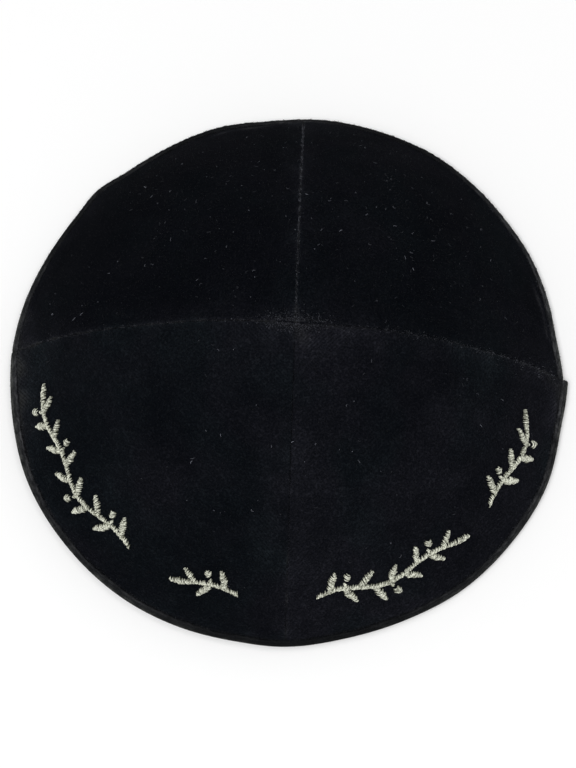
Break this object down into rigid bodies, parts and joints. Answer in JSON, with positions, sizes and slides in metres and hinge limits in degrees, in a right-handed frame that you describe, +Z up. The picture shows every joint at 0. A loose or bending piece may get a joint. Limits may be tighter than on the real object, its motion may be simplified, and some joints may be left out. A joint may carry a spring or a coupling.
{
  "type": "kippah skullcap",
  "caption": "Shallow domed velvet skullcap of sewn gores with a bound rim and a raised embroidered border along the front, worn on the crown of the head.",
  "frame": {"origin": "middle of the rim's outline, on the surface that the cap stands on", "axes": "+Z up through the crown, -Y towards the embroidered front, +X to the right as seen from behind the cap looking along +Y"},
  "size_m": [0.1813, 0.1781, 0.0545],
  "materials": {
    "black_velvet": "matt short-pile velvet, nearly black, with a faint bluish nap",
    "rim_binding": "folded velvet and tape binding, crushed nap, slightly lighter than the panels",
    "silver_thread": "satin-stitched rayon embroidery thread, warm silver grey, soft lustre"
  },
  "bodies": {
    "root": {"back_left_panel": "black_velvet", "back_right_panel": "black_velvet", "front_left_panel": "black_velvet", "front_right_panel": "black_velvet", "back_binding": "rim_binding", "front_binding": "rim_binding", "embroidered_branch_1": "silver_thread", "embroidered_branch_2": "silver_thread", "embroidered_branch_3": "silver_thread", "embroidered_branch_4": "silver_thread"}
  },
  "joints": []
}
